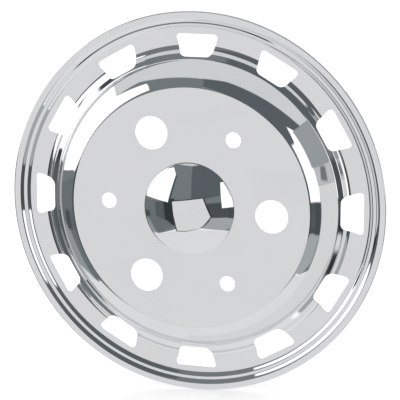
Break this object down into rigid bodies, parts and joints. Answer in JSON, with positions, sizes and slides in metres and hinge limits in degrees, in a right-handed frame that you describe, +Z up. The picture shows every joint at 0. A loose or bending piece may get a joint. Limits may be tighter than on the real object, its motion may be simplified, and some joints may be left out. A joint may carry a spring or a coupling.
{
  "type": "truck wheel simulator",
  "caption": "Round pressed sheet cover for a truck wheel, with a raised flat crown, a central dome, hand holes round the ring, and nut and stud holes.",
  "frame": {"origin": "on the wheel axis, at the centre of the stud circle, on the back face of the flat plate", "axes": "+Y along the wheel axis toward the truck, so the dome looks toward -Y; +Z up; +X to the right seen from the front"},
  "size_m": [0.473, 0.05, 0.473],
  "materials": {
    "polished_sheet": "mirror-polished sheet, bright on the front, plain on the back"
  },
  "bodies": {
    "root": {"wheel_simulator": "polished_sheet"}
  },
  "joints": []
}
